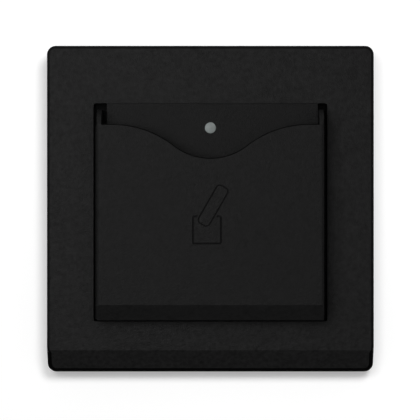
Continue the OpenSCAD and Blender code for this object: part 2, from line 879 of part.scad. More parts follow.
module switch_cover() {
    color("#4a4b4e") difference() {
        union() {
            along_y(cover_y, cover_back) base_outline(base_wall + lid_clear);
            rod_y(plunger_d / 2 + guide_wall, 0, cover_y, guide_end, plunger_z);
        }
        rod_y(plunger_d / 2 + running_clear, 0, cover_y - cut, guide_end + cut, plunger_z);
        both_sides() rod_y(lamp_pin_r + part_gap, pin_x, cover_y - cut, cover_back + cut, pin_z);
        two_corners()
            rod_y(cover_screw_d / 2 + part_gap, boss_x, cover_y - cut, cover_back + cut, boss_z);
    }
}

// The terminal cover's lip locates it in the base, and is left out at the terminals' corners
module rear_lip_outline() {
    corner_x = terminal_x - block_w / 2 - fence_t - 2 * part_gap;
    corner_z = terminal_z - block_h / 2 - fence_t - 2 * part_gap;
    difference() {
        base_outline(base_wall + lid_clear);
        base_outline(base_wall + seat_w);
        for (x = [0, 1], z = [0, 1]) mirror([x, 0]) mirror([0, z])
            translate([corner_x, corner_z]) square([base_w, base_h]);
    }
}

module terminal_cover() {
    cup_r = spring_r + spring_wire / 2 + part_gap;
    color("#d0d0cb") difference() {
        union() {
            along_y(rear_y, rear_y + rear_t) base_outline(0);
            along_y(rear_y - rear_lip, rear_y + eps) rear_lip_outline();
            difference() {
                rod_y(cup_r + spring_cup_t, 0, rear_y - 2 * rear_lip, rear_y + eps, plunger_z);
                rod_y(cup_r, 0, rear_y - 3 * rear_lip, rear_y, plunger_z);
            }
        }
        three_corners() rod_y(entry_r, terminal_x, rear_y - rear_t, rear_y + rear_t + cut, terminal_z);
    }
}

module plunger() {
    color("#e4e2da") union() {
        rod_y(plunger_d / 2, 0, plunger_y, collar_y + eps, plunger_z);
        rod_y(plunger_d / 2 + collar_w, 0, collar_y, collar_back, plunger_z);
        rod_y(stem_r, 0, collar_back - eps, clip_back + 2 * tab_clear, plunger_z);
    }
}

// A coned washer keeps the bridge pressed against its clip
module contact_spring() {
    inner = stem_r + 2 * tab_clear;
    wall = clip_t * 2 / 3;
    color("#b8b2a2") translate([0, collar_back, plunger_z]) rotate([-90, 0, 0]) rotate_extrude()
        polygon([
            [inner, 0], [inner + wall, 0], [inner + washer_h + wall, washer_h],
            [inner + washer_h, washer_h]
        ]);
}

module contact_bridge() {
    half = contact_x + contact_d / 2 + bridge_t / 2;
    color("#c9a34e") difference() {
        along_y(bridge_y, bridge_y + bridge_t) translate([0, plunger_z])
            rounded_rect(2 * half, contact_d + 2 * bridge_t, bridge_t);
        rod_y(stem_r + running_clear, 0, bridge_y - cut, clip_y + cut, plunger_z);
    }
}

module bridge_contacts() {
    color("#d5d7da") both_sides()
        rod_y(contact_d / 2, contact_x, clip_y, clip_y + contact_t, plunger_z);
}

module bridge_clip() {
    color("#8d8f92") difference() {
        rod_y(2 * stem_r, 0, clip_y, clip_back, plunger_z);
        rod_y(stem_r + fixed_clear, 0, clip_y - cut, clip_back + cut, plunger_z);
    }
}

// The coil's centre line after t turns, and one ring of points round it
function coil_centre(t) = [
    spring_r * cos(360 * t), spring_y0 + (spring_y1 - spring_y0) * t / spring_turns,
    plunger_z + spring_r * sin(360 * t)
];
function coil_ring(t) = [for (b = [0:60:300]) coil_centre(t) + spring_wire / 2 * [
    cos(b) * cos(360 * t), sin(b), cos(b) * sin(360 * t)
]];

module return_spring() {
    rings = 8 * spring_turns;
    points = [for (i = [0:rings]) each coil_ring(i / 8)];
    sides = [for (i = [0:rings - 1], j = [0:5]) [
        6 * i + j, 6 * i + (j + 1) % 6, 6 * i + 6 + (j + 1) % 6, 6 * i + 6 + j
    ]];
    ends = [[for (j = [5:-1:0]) j], [for (j = [0:5]) 6 * rings + j]];
    pitches = [for (i = [0:rings - 8]) norm(coil_centre(i / 8) - coil_centre(i / 8 + 1))];
    echo(return_spring_least_gap = min(pitches) - spring_wire);
    color("#9a9da0") polyhedron(points, concat(sides, ends), convexity = 10);
}

// The brass body of a terminal: wire bore from behind, screw hole from outside
module terminal_body() {
    half = block_w / 2;
    z0 = terminal_z - block_h / 2;
    z1 = terminal_z + block_h / 2;
    difference() {
        block(terminal_x - half, terminal_x + half, strip_y, block_back, z0, z1);
        rod_y(wire_r, terminal_x, strip_y + fence_t, base_depth + cut, terminal_z);
        rod_z(screw_d / 2 + running_clear, terminal_x, screw_y, terminal_z, z1 + cut);
    }
}

// A flat strip of a terminal, from corner to corner
module strip(x0, x1, z0, z1) {
    block(x0, x1, strip_y, strip_back, z0, z1);
}

// The strip that carries a fixed contact: a foot on the terminal below it, and an upright
module contact_strip() {
    x0 = contact_x - strip_half;
    foot = block_h / 4 - terminal_z;
    strip(x0, terminal_x, foot, block_h / 2 - terminal_z);
    strip(x0, contact_x + strip_half, foot, plunger_z + strip_half);
}

module lamp_strip() {
    strip(pin_x - lamp_strip_half, terminal_x, pin_z - lamp_strip_half, pin_z + lamp_strip_half);
}

module line_terminal() {
    color("#c7a04a") mirror([1, 0, 0]) {
        mirror([0, 0, 1]) terminal_body();
        contact_strip();
    }
}

module load_terminal() {
    color("#c7a04a") {
        mirror([0, 0, 1]) terminal_body();
        contact_strip();
        strip(
            terminal_x - lamp_strip_half, terminal_x + lamp_strip_half, -terminal_z,
            pin_z + lamp_strip_half
        );
        lamp_strip();
    }
}

module neutral_terminal() {
    color("#c7a04a") mirror([1, 0, 0]) {
        terminal_body();
        lamp_strip();
    }
}

module fixed_contacts() {
    color("#d5d7da") both_sides() rod_y(contact_d / 2, contact_x, fixed_y, strip_y, plunger_z);
}

// A slotted screw: shank from 0 to its length, head below 0
module slotted_screw(d, len, head_d, head_t) {
    slot = head_d / 7;
    difference() {
        union() {
            translate([0, 0, -eps]) cylinder(d = d, h = len + eps);
            translate([0, 0, -head_t]) cylinder(d = head_d, h = head_t);
        }
        translate([-head_d, -slot / 2, -2 * head_t]) cube([2 * head_d, slot, 1.5 * head_t]);
    }
}

module terminal_screw() {
    head_z = terminal_z + block_h / 2 + running_clear;
    length = head_z - terminal_z - wire_r - tab_clear;
    translate([terminal_x, screw_y, head_z]) rotate([180, 0, 0])
        slotted_screw(screw_d, length, screw_head_d, base_wall);
}

module terminal_screws() {
    color("#b9bcbe") three_corners() terminal_screw();
}

module cover_screws() {
    color("#b9bcbe") two_corners() translate([boss_x, cover_y, boss_z]) rotate([-90, 0, 0])
        slotted_screw(cover_screw_d, cover_t + cover_screw_grip, cover_head_d, cover_head_t);
}

module yoke_rivet() {
    head_r = rivet_d / 2 + rivet_rim;
    rod_y(rivet_d / 2, rivet_x, -yoke_t - eps, base_flange_t + eps, rivet_z);
    rod_y(head_r, rivet_x, -yoke_t - rivet_head_t, -yoke_t, rivet_z);
    rod_y(head_r, rivet_x, base_flange_t, base_flange_t + rivet_head_t, rivet_z);
}

module yoke_rivets() {
    color("#a9acae") four_ways() yoke_rivet();
}

module lamp_holder() {
    half = holder_w / 2;
    color("#e6e4dc") difference() {
        union() {
            block(-half, half, holder_y - eps, cover_y - running_clear, holder_foot, plug_top);
            block(-half, half, holder_front, holder_y, holder_foot, lens_z + holder_top);
        }
        both_sides() rod_y(lamp_pin_r + fixed_clear, pin_x, 0, cover_y + cut, pin_z);
    }
}

module indicator_lamp() {
    rim_y = holder_front - 2 * lamp_rim;
    dome_y = rim_y - lamp_rim;
    color("#cfe0d4") union() {
        rod_y(lamp_r + lamp_rim, 0, rim_y, holder_front, lens_z);
        rod_y(lamp_r, 0, dome_y, rim_y + eps, lens_z);
        intersection() {
            translate([0, dome_y, lens_z]) sphere(lamp_r);
            rod_y(2 * lamp_r, 0, dome_y - 2 * lamp_r, dome_y + lamp_rim, lens_z);
        }
    }
}

module lamp_resistor() {
    y = holder_front - resistor_r - running_clear;
    z = holder_foot + resistor_r + resistor_gap;
    color("#c9b58c") union() {
        rod_x(resistor_r, -resistor_len / 2, resistor_len / 2, y, z);
        rod_x(lead_r, -lead_x, lead_x, y, z);
        both_sides() rod_y(lead_r, lead_x, y - lead_r, holder_front, z);
    }
}

module lamp_pins() {
    color("#c7a04a") both_sides()
        rod_y(lamp_pin_r, pin_x, tab_clear, strip_y - running_clear, pin_z);
}

// A claw turns on its pin: the screw presses its heel, and its toothed end swings out
module claw() {
    x0 = claw_x - claw_t / 2;
    x1 = claw_x + claw_t / 2;
    end = claw_y + claw_len;
    half = claw_w / 2;
    heel = heel_w / 2;
    difference() {
        union() {
            rod_z(claw_pin_d / 2 + claw_eye, claw_x, claw_y, -half, half);
            block(x0, x1, claw_y, end, -half, half);
            block(x0, x1 + claw_hook, end - claw_t, end, -half, half);
            block(claw_screw_x - claw_eye, claw_x, heel_y, heel_y + claw_t, -heel, heel);
        }
        rod_z(claw_pin_d / 2 + running_clear, claw_x, claw_y, -claw_w, claw_w);
        for (z = [-1, 0, 1]) along_y(end - 2 * claw_t, end + claw_t)
            translate([x1 + claw_hook, z * claw_w / 3]) circle(tooth_r);
    }
}

module claw_right() {
    color("#b4b7ba") claw();
}

module claw_left() {
    color("#b4b7ba") mirror([1, 0, 0]) claw();
}

module claw_pins() {
    half = lug_z + lug_t + part_gap;
    color("#9b9ea1") both_sides() rod_z(claw_pin_d / 2, claw_x, claw_y, -half, half);
}

module claw_screws() {
    length = yoke_t + heel_y - part_gap;
    color("#b9bcbe") both_sides() translate([claw_screw_x, -yoke_t, 0]) rotate([-90, 0, 0])
        slotted_screw(claw_screw_d, length, 1.8 * claw_screw_d, claw_head_t);
}

cover_frame();
centre_plate();
card_pocket();
indicator_lens();
card_lever();
lever_axle();
mounting_yoke();
switch_base();
switch_cover();
terminal_cover();
plunger();
contact_spring();
contact_bridge();
bridge_contacts();
bridge_clip();
return_spring();
line_terminal();
load_terminal();
neutral_terminal();
fixed_contacts();
terminal_screws();
cover_screws();
yoke_rivets();
lamp_holder();
indicator_lamp();
lamp_resistor();
lamp_pins();
claw_left();
claw_right();
claw_pins();
claw_screws();
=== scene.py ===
import math

import bmesh
import bpy
from mathutils import Matrix, Vector


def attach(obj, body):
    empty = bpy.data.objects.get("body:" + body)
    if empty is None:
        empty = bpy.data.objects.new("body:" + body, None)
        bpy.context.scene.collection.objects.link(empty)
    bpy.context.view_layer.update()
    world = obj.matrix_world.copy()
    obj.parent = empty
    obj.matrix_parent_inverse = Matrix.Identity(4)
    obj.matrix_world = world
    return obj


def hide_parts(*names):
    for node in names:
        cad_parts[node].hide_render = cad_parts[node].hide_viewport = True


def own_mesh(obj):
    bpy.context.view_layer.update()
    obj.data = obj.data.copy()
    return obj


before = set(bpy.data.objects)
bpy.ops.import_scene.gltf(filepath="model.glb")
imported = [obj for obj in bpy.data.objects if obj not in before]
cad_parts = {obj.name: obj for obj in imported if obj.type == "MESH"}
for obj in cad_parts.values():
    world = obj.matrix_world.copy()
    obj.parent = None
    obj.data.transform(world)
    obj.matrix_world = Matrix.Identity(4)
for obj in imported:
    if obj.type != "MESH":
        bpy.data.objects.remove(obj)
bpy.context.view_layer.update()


# Switch base and terminal cover: the box of the insert that sits in the wall box. Both are compression
# moulded from pale grey thermoset, with a finely blasted skin, and hold the terminals and contacts.
MM = 0.001
SEAM, MERGE = 0.001, 0.0005
FLAT_ANGLE, SHARP_ANGLE, SMOOTH_ANGLE = 0.5, 35.0, 25.0
EDGE_STEPS = 3
NOISE_MEAN = 0.5
CLOUD_SIZE, CLOUD_TONE, CLOUD_ROUGH = 9.0, 0.6, 0.1
SKIN_DETAIL, SKIN_TONE, SKIN_ROUGH = 3.0, 0.4, 0.16
BASE_EDGE = 0.22
BASE_GREY = (0.56, 0.56, 0.53)
BASE_SHADE = (0.47, 0.47, 0.45)


class Shade:
    """A socket in a finish's node tree. Maths on it adds Math nodes, and node() adds any other node."""

    def __init__(self, tree, socket=None):
        self.tree = tree
        self.socket = socket

    def wire(self, node, inputs):
        for name, value in inputs.items():
            if isinstance(value, Shade):
                self.tree.links.new(value.socket, node.inputs[name])
            elif isinstance(value, tuple) and len(value) == 3 and node.inputs[name].type == "RGBA":
                node.inputs[name].default_value = (*value, 1)
            else:
                node.inputs[name].default_value = value

    def node(self, kind, settings=None, inputs=None, output=0):
        made = self.tree.nodes.new("ShaderNode" + kind)
        for name, value in (settings or {}).items():
            setattr(made, name, value)
        self.wire(made, inputs or {})
        return Shade(self.tree, made.outputs[output])

    def maths(self, operation, a, b):
        return self.node("Math", {"operation": operation}, {0: a, 1: b})

    def mix(self, share, a, b):
        return self.node("Mix", {"data_type": "RGBA"}, {0: share, 6: a, 7: b}, output=2)

    def __add__(self, other):
        return self.maths("ADD", self, other)

    def __sub__(self, other):
        return self.maths("SUBTRACT", self, other)

    def __rsub__(self, other):
        return self.maths("SUBTRACT", other, self)

    def __mul__(self, other):
        return self.maths("MULTIPLY", self, other)

    __radd__ = __add__
    __rmul__ = __mul__


def new_finish(name):
    """A material with one plain shader, and the Shade that its nodes are added from."""
    made = bpy.data.materials.new(name)
    made.use_nodes = True
    return made, made.node_tree.nodes["Principled BSDF"], Shade(made.node_tree)


def noise(shade, size, detail=2.0, vector=None):
    """Noise whose lumps are about size mm across, on the piece's own coordinates."""
    place = vector or shade.node("TexCoord", output="Object")
    return shade.node("TexNoise", inputs={"Vector": place, "Scale": 1 / (size * MM), "Detail": detail})


def moulded(name, tone, shade_tone, grain, relief, rough, gloss):
    """Moulded plastic. Grain is the width and relief the height of its skin's texture, in mm."""
    made, shader, shade = new_finish(name)
    skin = noise(shade, grain, SKIN_DETAIL)
    cloud = noise(shade, CLOUD_SIZE)
    bump = shade.node("Bump", inputs={"Strength": 1.0, "Distance": relief * MM, "Height": skin})
    shade.wire(shader, {
        "Base Color": shade.mix(CLOUD_TONE * cloud + SKIN_TONE * skin, shade_tone, tone),
        "Roughness": rough + SKIN_ROUGH * (skin - NOISE_MEAN) + CLOUD_ROUGH * (cloud - NOISE_MEAN),
        "Normal": bump,
        "Specular IOR Level": gloss,
    })
    return made


def dress(finish, *nodes):
    """Gives CAD nodes that keep their shape a finish."""
    for name in nodes:
        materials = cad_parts[name].data.materials
        materials.clear()
        materials.append(finish)


def finish_piece(name, mesh, finish, smooth_angle=SMOOTH_ANGLE):
    """Makes an object of a mesh drawn in mm, with closed seams, faces outwards and even shading."""
    bmesh.ops.remove_doubles(mesh, verts=mesh.verts, dist=MERGE)
    bmesh.ops.recalc_face_normals(mesh, faces=mesh.faces)
    bmesh.ops.scale(mesh, verts=mesh.verts, vec=(MM, MM, MM))
    data = bpy.data.meshes.new(name)
    mesh.to_mesh(data)
    mesh.free()
    data.shade_smooth()
    data.set_sharp_from_angle(angle=math.radians(smooth_angle))
    data.materials.append(finish)
    piece = bpy.data.objects.new(name, data)
    bpy.context.scene.collection.objects.link(piece)
    return piece


def even_shading(piece):
    """Lets the large flat faces set the shading of the roundings beside them."""
    even = piece.modifiers.new("even_shading", "WEIGHTED_NORMAL")
    even.keep_sharp = True


def rounded_copy(piece_name, node, body, finish, edge_r, fit=()):
    """Puts a copy of a CAD node in its place, with its seams closed and its edges rounded.

    Each row of fit moves the faces at one place along an axis to another."""
    mesh = bmesh.new()
    mesh.from_mesh(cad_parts[node].data)
    bmesh.ops.scale(mesh, verts=mesh.verts, vec=(1 / MM, 1 / MM, 1 / MM))
    bmesh.ops.remove_doubles(mesh, verts=mesh.verts, dist=SEAM)
    bmesh.ops.dissolve_degenerate(mesh, edges=mesh.edges, dist=SEAM / 2)
    bmesh.ops.dissolve_limit(
        mesh, angle_limit=math.radians(FLAT_ANGLE), verts=mesh.verts, edges=mesh.edges)
    for axis, place, fitted in fit:
        for vert in mesh.verts:
            if abs(vert.co[axis] - place) < SEAM:
                vert.co[axis] = fitted
    sharp = [edge for edge in mesh.edges if edge.calc_face_angle(0) > math.radians(SHARP_ANGLE)]
    bmesh.ops.bevel(
        mesh, geom=sharp, offset=edge_r, segments=EDGE_STEPS, profile=0.5, affect="EDGES", material=-1)
    piece = finish_piece(piece_name, mesh, finish, SHARP_ANGLE)
    even_shading(piece)
    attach(piece, body)
    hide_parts(node)
    return piece


base_plastic = moulded(
    "base_plastic", BASE_GREY, BASE_SHADE, grain=0.25, relief=0.01, rough=0.5, gloss=0.4)
rounded_copy("base_body", "switch_base", "fitting", base_plastic, BASE_EDGE)
rounded_copy("rear_lid", "terminal_cover", "fitting", base_plastic, BASE_EDGE)


# Terminals: three brass blocks with a wire bore and a clamping screw, each on a stamped strip that runs
# to its contact or lamp pin. They are pushed into the base's pockets and held there by the rear cover.
BRASS = (0.72, 0.52, 0.22)
BRASS_DULL = (0.52, 0.36, 0.15)
STEEL = (0.6, 0.61, 0.62)
STEEL_DULL = (0.46, 0.47, 0.48)
DRAWN_OUT = (0.06, 1.0, 1.0)
SCRATCH_WIDTH, SCRATCH_DEPTH, SCRATCH_TONE, SCRATCH_ROUGH = 0.12, 0.004, 0.3, 0.14
TARNISH_SIZE, TARNISH_DETAIL, TARNISH_TONE, TARNISH_ROUGH = 3.5, 3.0, 0.7, 0.16
STRIP_EDGE = 0.1


def metal(name, tone, dull_tone, rough, scratch):
    """Drawn or plated metal with cloudy tarnish and fine scratches that run along X."""
    made, shader, shade = new_finish(name)
    place = shade.node("TexCoord", output="Object")
    drawn = shade.node("Mapping", inputs={"Vector": place, "Scale": DRAWN_OUT})
    lines = noise(shade, SCRATCH_WIDTH, vector=drawn)
    cloud = noise(shade, TARNISH_SIZE, TARNISH_DETAIL)
    bump = shade.node("Bump", inputs={"Strength": scratch, "Distance": SCRATCH_DEPTH * MM, "Height": lines})
    shade.wire(shader, {
        "Base Color": shade.mix(TARNISH_TONE * cloud + SCRATCH_TONE * lines, dull_tone, tone),
        "Metallic": 1.0,
        "Roughness": rough + SCRATCH_ROUGH * (lines - NOISE_MEAN) + TARNISH_ROUGH * (cloud - NOISE_MEAN),
        "Normal": bump,
    })
    return made


brass = metal("terminal_brass", BRASS, BRASS_DULL, rough=0.34, scratch=0.5)
screw_steel = metal("screw_steel", STEEL, STEEL_DULL, rough=0.36, scratch=0.4)
rounded_copy("line_clamp", "line_terminal", "fitting", brass, STRIP_EDGE)
rounded_copy("load_clamp", "load_terminal", "fitting", brass, STRIP_EDGE)
rounded_copy("neutral_clamp", "neutral_terminal", "fitting", brass, STRIP_EDGE)
dress(screw_steel, "terminal_screws")


# Contacts: round rivets of silver alloy, two on the strips and two on the moving bridge. The surfaces
# that meet are bright and slightly worn, with a thin dark film of sulphide round them.
SILVER = (0.83, 0.82, 0.79)
SILVER_DULL = (0.5, 0.48, 0.44)

silver = metal("contact_silver", SILVER, SILVER_DULL, rough=0.24, scratch=0.3)
dress(silver, "fixed_contacts", "bridge_contacts")


# Plunger: an ivory nylon pin that the lever pushes into the base. It carries the brass bridge on a
# spring washer, and a steel clip holds the bridge on its stem.
IVORY = (0.7, 0.66, 0.55)
IVORY_SHADE = (0.6, 0.56, 0.46)
SPRING_STEEL = (0.44, 0.44, 0.45)
SPRING_DULL = (0.3, 0.3, 0.31)
PIN_EDGE, BRIDGE_EDGE = 0.15, 0.08

nylon = moulded("plunger_plastic", IVORY, IVORY_SHADE, grain=0.4, relief=0.006, rough=0.42, gloss=0.45)
spring_wire = metal("spring_steel", SPRING_STEEL, SPRING_DULL, rough=0.3, scratch=0.6)
rounded_copy("push_pin", "plunger", "plunger", nylon, PIN_EDGE)
rounded_copy("bridge_strip", "contact_bridge", "plunger", brass, BRIDGE_EDGE)
dress(spring_wire, "contact_spring", "bridge_clip")


# Return spring: six turns of drawn steel wire between the bridge's clip and the terminal cover. The end
# turns are closed and ground. The real spring shortens as the plunger goes in; here it is one fixed mesh.
SPRING_R = 2.3
WIRE_R, WIRE_SIDES, WIRE_SMOOTH = 0.3, 12, 60.0
SPRING_AXIS_Z = -7.0
SPRING_FRONT = 12.84
SPRING_BACK = 23.61
END_PITCH = 0.66
TURN_STEPS = 32
OPEN_TURNS = 4

coil = bmesh.new()
wire = bmesh.ops.create_circle(coil, radius=WIRE_R, segments=WIRE_SIDES)["verts"]
bmesh.ops.translate(coil, verts=wire, vec=(SPRING_R, SPRING_FRONT, SPRING_AXIS_Z))
ring = wire + list(coil.edges)
open_pitch = (SPRING_BACK - SPRING_FRONT - 2 * END_PITCH) / OPEN_TURNS
for turns, pitch in ((1, END_PITCH), (OPEN_TURNS, open_pitch), (1, END_PITCH)):
    spun = bmesh.ops.spin(
        coil, geom=ring, cent=(0, 0, SPRING_AXIS_Z), axis=(0, 1, 0), angle=2 * math.pi * turns,
        dvec=(0, pitch / TURN_STEPS, 0), steps=turns * TURN_STEPS, use_duplicate=False)
    ring = spun["geom_last"]
bmesh.ops.holes_fill(coil, edges=[edge for edge in coil.edges if edge.is_boundary])
return_coil = finish_piece("return_coil", coil, spring_wire, WIRE_SMOOTH)
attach(return_coil, "fitting")
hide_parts("return_spring")
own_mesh(return_coil)


# Switch cover: a dark grey moulded lid with the plunger's guide, held in the base's mouth by two small
# screws. It keeps fingers away from the contacts.
COVER_GREY = (0.07, 0.071, 0.075)
COVER_SHADE = (0.05, 0.051, 0.054)
LID_EDGE = 0.15

cover_plastic = moulded(
    "cover_plastic", COVER_GREY, COVER_SHADE, grain=0.3, relief=0.008, rough=0.5, gloss=0.35)
rounded_copy("front_lid", "switch_cover", "fitting", cover_plastic, LID_EDGE)
dress(screw_steel, "cover_screws")


# Mounting yoke: one stamping of 1 mm steel sheet with bright zinc plate, screwed to the wall box through
# its slots. Four turned steel rivets clamp the base's flanges behind it.
ZINC = (0.62, 0.64, 0.66)
ZINC_DULL = (0.5, 0.52, 0.53)
SHEET_EDGE = 0.12

zinc = metal("zinc_steel", ZINC, ZINC_DULL, rough=0.33, scratch=0.35)
rivet_steel = metal("pin_steel", STEEL, STEEL_DULL, rough=0.28, scratch=0.25)
rounded_copy("yoke_sheet", "mounting_yoke", "fitting", zinc, SHEET_EDGE)
dress(rivet_steel, "yoke_rivets")


# Claws: two toothed spreaders of zinc plated sheet that swing out on pins and bite into the wall box
# when their screws are driven in from the front.
CLAW_EDGE = 0.1

rounded_copy("left_spreader", "claw_left", "claw_left", zinc, CLAW_EDGE)
rounded_copy("right_spreader", "claw_right", "claw_right", zinc, CLAW_EDGE)
dress(rivet_steel, "claw_pins")
dress(screw_steel, "claw_screws")


# Indicator lamp: a small clear green lamp and its resistor on an ivory holder that plugs into the base
# with two brass pins. It sits right behind the lens.
LAMP_TONE = (0.5, 0.68, 0.56)
LAMP_SHADE = (0.36, 0.52, 0.42)
BEIGE = (0.5, 0.39, 0.22)
BEIGE_SHADE = (0.4, 0.3, 0.16)
HOLDER_IVORY = (0.72, 0.7, 0.62)
HOLDER_SHADE = (0.62, 0.6, 0.52)
HOLDER_EDGE = 0.15

lamp_plastic = moulded(
    "lamp_plastic", HOLDER_IVORY, HOLDER_SHADE, grain=0.3, relief=0.006, rough=0.45, gloss=0.4)
lamp_resin = moulded("lamp_epoxy", LAMP_TONE, LAMP_SHADE, grain=0.8, relief=0.001, rough=0.12, gloss=0.5)
resistor_coat = moulded("resistor_body", BEIGE, BEIGE_SHADE, grain=0.4, relief=0.004, rough=0.35, gloss=0.5)
rounded_copy("lamp_block", "lamp_holder", "fitting", lamp_plastic, HOLDER_EDGE)
dress(lamp_resin, "indicator_lamp")
dress(resistor_coat, "lamp_resistor")
dress(brass, "lamp_pins")


# Cover frame: a square shell of black polycarbonate with a spark-eroded matt skin, a sloped foot and a
# rounded front edge. That rounding is painted a little darker as shade, and the foot's rounding and the
# window's ledge are painted near black as shade. Its window's ledge clamps the centre plate, and ribs
# stiffen the back of its face.
FRAME_HALF = 42.0
FRAME_FACE = -10.0
FRAME_CORNER = 2.2
FRAME_EDGE = 0.8
FRAME_WALL = 2.0
INNER_CORNER = 0.6
WINDOW_X, WINDOW_Z, WINDOW_MID = 30.0, 28.0, -0.8
WINDOW_EDGE = 0.02
LEDGE_FRONT, LEDGE_BACK, LEDGE_WIDTH, LEDGE_NEAR = -6.0, -4.4, 2.0, 0.4
COLLAR = 1.6
SLOPE_TOP, SLOPE_FOOT = (-10.0, -36.2), (-6.4, -42.0)
FOOT_EDGE = 1.15
RIB_PLACE, RIB_HALF, RIB_BACK = 18.0, 0.6, -2.5
RIB_SINK = 0.4
RINGS_APART = 100.0
CORNER_STEPS, ROUND_STEPS = 6, 4
FOLD_ANGLE = 40.0
ON_PLANE = 0.0001
FORWARD = -0.9
RECESS_SHADE_SLOT, FOOT_SHADE_SLOT, ROUNDING_SHADE_SLOT = 1, 2, 3
PIT_HEIGHT, COARSE_HEIGHT = 0.6, 0.4
COARSE, COARSE_ROUGH = 2.4, 0.2
MOTTLE, MOTTLE_TONE = 3.2, 0.85
SHEEN_SIZE, SHEEN_TONE, SHEEN_ROUGH = 16.0, 0.2, 0.1
BLACK_ROUGH = 0.4
BLACK = (0.0194, 0.0194, 0.0195)
BLACK_SHADE = (0.0014, 0.0014, 0.0014)
# Painted shade: a darker black for the rounding of the frame's front edge.
ROUNDING_SHADE_BLACK, ROUNDING_SHADE_DEEP = (0.0105, 0.0105, 0.0106), (0.0012, 0.0012, 0.0012)
# Painted shade: a near black for the roundings of the frame's foot and of the pocket's rim.
PAINTED_SHADE_BLACK, PAINTED_SHADE_DEEP = (0.0026, 0.0026, 0.0026), (0.0012, 0.0012, 0.0012)
# Painted shade: a near black for forward faces set back in recesses.
RECESS_SHADE_BLACK = (0.003, 0.003, 0.003)
RECESS_SHADE_DEEP = (0.0012, 0.0012, 0.0012)


def outline(mesh, half_x, half_z, corner, y, mid_z=0.0):
    """A closed ring of edges with round corners, square to Y. Every ring has as many edges."""
    verts = bmesh.ops.create_grid(mesh, x_segments=1, y_segments=1, size=1)["verts"]
    turn = Matrix.Rotation(math.radians(90), 3, "X")
    bmesh.ops.scale(mesh, verts=verts, vec=(half_x, half_z, 1))
    bmesh.ops.rotate(mesh, verts=verts, cent=(0, 0, 0), matrix=turn)
    bmesh.ops.translate(mesh, verts=verts, vec=(0, y, mid_z))
    cut = bmesh.ops.bevel(
        mesh, geom=verts, offset=corner, segments=CORNER_STEPS, profile=0.5, affect="VERTICES", material=-1)
    face = cut["verts"][0].link_faces[0]
    edges = list(face.edges)
    bmesh.ops.delete(mesh, geom=[face], context="FACES_ONLY")
    return edges


def once(parts):
    """A list of the parts without repeats, in the same order in every run."""
    return list(dict.fromkeys(parts))


def with_bounds(faces):
    """The faces with their edges and corners."""
    edges = [edge for face in faces for edge in face.edges]
    corners = [vert for face in faces for vert in face.verts]
    return once([*faces, *edges, *corners])


def skin(mesh, rings):
    """Bridges each ring of edges to the next and returns the faces of each step."""
    steps = []
    for ring, following in zip(rings, rings[1:]):
        verts = once(vert for edge in following for vert in edge.verts)
        bmesh.ops.translate(mesh, verts=verts, vec=(0, RINGS_APART, 0))
        steps.append(bmesh.ops.bridge_loops(mesh, edges=ring + following)["faces"])
        bmesh.ops.translate(mesh, verts=verts, vec=(0, -RINGS_APART, 0))
    return steps


def slice_off(mesh, faces, point, normal):
    """Cuts away what lies beyond a plane and closes the cut with one face."""
    cut = bmesh.ops.bisect_plane(
        mesh, geom=with_bounds(faces), dist=ON_PLANE, plane_co=point, plane_no=normal, clear_outer=True)
    rim = [part for part in cut["geom_cut"] if isinstance(part, bmesh.types.BMEdge)]
    return bmesh.ops.edgeloop_fill(mesh, edges=rim)["faces"]


def box(mesh, low, high):
    """A plain block from one corner to the other, as a start for a rib."""
    verts = bmesh.ops.create_cube(mesh, size=1)["verts"]
    low, high = Vector(low), Vector(high)
    bmesh.ops.scale(mesh, verts=verts, vec=high - low)
    bmesh.ops.translate(mesh, verts=verts, vec=(low + high) / 2)
    return verts


def black_grain(name, tone, shade_tone, grain, relief, gloss):
    """Matt black plastic with an even spark-eroded grain, a mottled tone and a faint cloudy sheen."""
    made, shader, shade = new_finish(name)
    pits = noise(shade, grain)
    coarse = noise(shade, COARSE * grain)
    mottle = noise(shade, MOTTLE * grain)
    sheen = noise(shade, SHEEN_SIZE)
    height = PIT_HEIGHT * pits + COARSE_HEIGHT * coarse
    bump = shade.node("Bump", inputs={"Strength": 1.0, "Distance": relief * MM, "Height": height})
    share = NOISE_MEAN + MOTTLE_TONE * (mottle - NOISE_MEAN) + SHEEN_TONE * (sheen - NOISE_MEAN)
    shade.wire(shader, {
        "Base Color": shade.mix(share, shade_tone, tone),
        "Roughness": (
            BLACK_ROUGH + COARSE_ROUGH * (coarse - NOISE_MEAN) + SHEEN_ROUGH * (sheen - NOISE_MEAN)),
        "Normal": bump,
        "Specular IOR Level": gloss,
    })
    return made


def paint_recess_shade(piece, finish, depth):
    """Paints the faces that look forward from between two depths near black, as shade in a recess."""
    piece.data.materials.append(finish)
    for face in piece.data.polygons:
        if face.normal.y < FORWARD and depth[0] * MM < face.center.y < depth[1] * MM:
            face.material_index = RECESS_SHADE_SLOT


black_plastic = black_grain("black_plastic", BLACK, BLACK_SHADE, grain=0.3, relief=0.2, gloss=0.04)
# Painted shade for recesses.
recess_shade_plastic = black_grain("recess_shade_plastic", RECESS_SHADE_BLACK, RECESS_SHADE_DEEP, grain=0.3, relief=0.05, gloss=0.01)
# Painted shade for the foot's and the rim's roundings.
painted_shade_plastic = black_grain("painted_shade_plastic", PAINTED_SHADE_BLACK, PAINTED_SHADE_DEEP, grain=0.3, relief=0.02, gloss=0.008)
